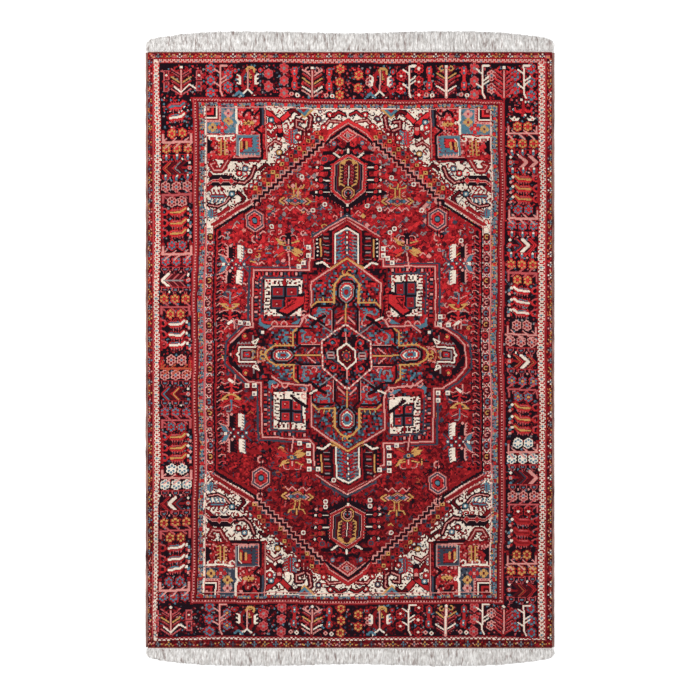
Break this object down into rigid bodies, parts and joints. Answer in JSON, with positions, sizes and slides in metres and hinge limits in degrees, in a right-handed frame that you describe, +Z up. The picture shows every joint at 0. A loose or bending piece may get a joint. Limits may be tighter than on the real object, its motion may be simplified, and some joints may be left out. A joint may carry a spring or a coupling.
{
  "type": "area rug",
  "caption": "Rectangular hand-knotted wool rug with a geometric medallion, bordered field, overcast sides and a knotted cotton fringe at each end.",
  "frame": {"origin": "on the floor under the rug's centre", "axes": "+Y along the rug's length towards its far end, +X across it, +Z up from the floor out of the pile"},
  "size_m": [2.06, 3.2108, 0.0117],
  "materials": {
    "wool_pile": "cut wool pile, matte with a soft sheen",
    "cotton_foundation": "woven cotton with knot backs, matte",
    "wool_overcast": "wrapped wool yarn, matte",
    "cotton_cord": "plied cotton cord, matte",
    "cotton_web": "flat-woven cotton, matte",
    "cotton_twining": "twined cotton, matte",
    "cotton_fringe": "twisted undyed cotton yarn, matte"
  },
  "bodies": {
    "rug": {"foundation": "cotton_foundation", "wool_pile": "wool_pile", "selvedge_left_cord_1": "cotton_cord", "selvedge_left_cord_2": "cotton_cord", "selvedge_right_cord_1": "cotton_cord", "selvedge_right_cord_2": "cotton_cord", "selvedge_left_overcasting": "wool_overcast", "selvedge_right_overcasting": "wool_overcast", "end_web_far": "cotton_web", "end_web_near": "cotton_web", "end_twining_far": "cotton_twining", "end_twining_near": "cotton_twining"},
    "fringe_far": {"fringe_far_01": "cotton_fringe", "fringe_far_02": "cotton_fringe", "fringe_far_03": "cotton_fringe", "fringe_far_04": "cotton_fringe", "fringe_far_05": "cotton_fringe", "fringe_far_06": "cotton_fringe", "fringe_far_07": "cotton_fringe", "fringe_far_08": "cotton_fringe", "fringe_far_09": "cotton_fringe", "fringe_far_10": "cotton_fringe", "fringe_far_11": "cotton_fringe", "fringe_far_12": "cotton_fringe", "fringe_far_13": "cotton_fringe", "fringe_far_14": "cotton_fringe", "fringe_far_15": "cotton_fringe", "fringe_far_16": "cotton_fringe", "fringe_far_17": "cotton_fringe", "fringe_far_18": "cotton_fringe"},
    "fringe_near": {"fringe_near_01": "cotton_fringe", "fringe_near_02": "cotton_fringe", "fringe_near_03": "cotton_fringe", "fringe_near_04": "cotton_fringe", "fringe_near_05": "cotton_fringe", "fringe_near_06": "cotton_fringe", "fringe_near_07": "cotton_fringe", "fringe_near_08": "cotton_fringe", "fringe_near_09": "cotton_fringe", "fringe_near_10": "cotton_fringe", "fringe_near_11": "cotton_fringe", "fringe_near_12": "cotton_fringe", "fringe_near_13": "cotton_fringe", "fringe_near_14": "cotton_fringe", "fringe_near_15": "cotton_fringe", "fringe_near_16": "cotton_fringe", "fringe_near_17": "cotton_fringe", "fringe_near_18": "cotton_fringe"}
  },
  "joints": [
    {"name": "fringe_far_fold", "type": "hinge", "parent": "rug", "child": "fringe_far", "pos_m": [0, 1.51296, 0.0026], "axis": [1, 0, 0], "range_deg": [0, 135]},
    {"name": "fringe_near_fold", "type": "hinge", "parent": "rug", "child": "fringe_near", "pos_m": [0, -1.51296, 0.0026], "axis": [-1, 0, 0], "range_deg": [0, 135]}
  ]
}
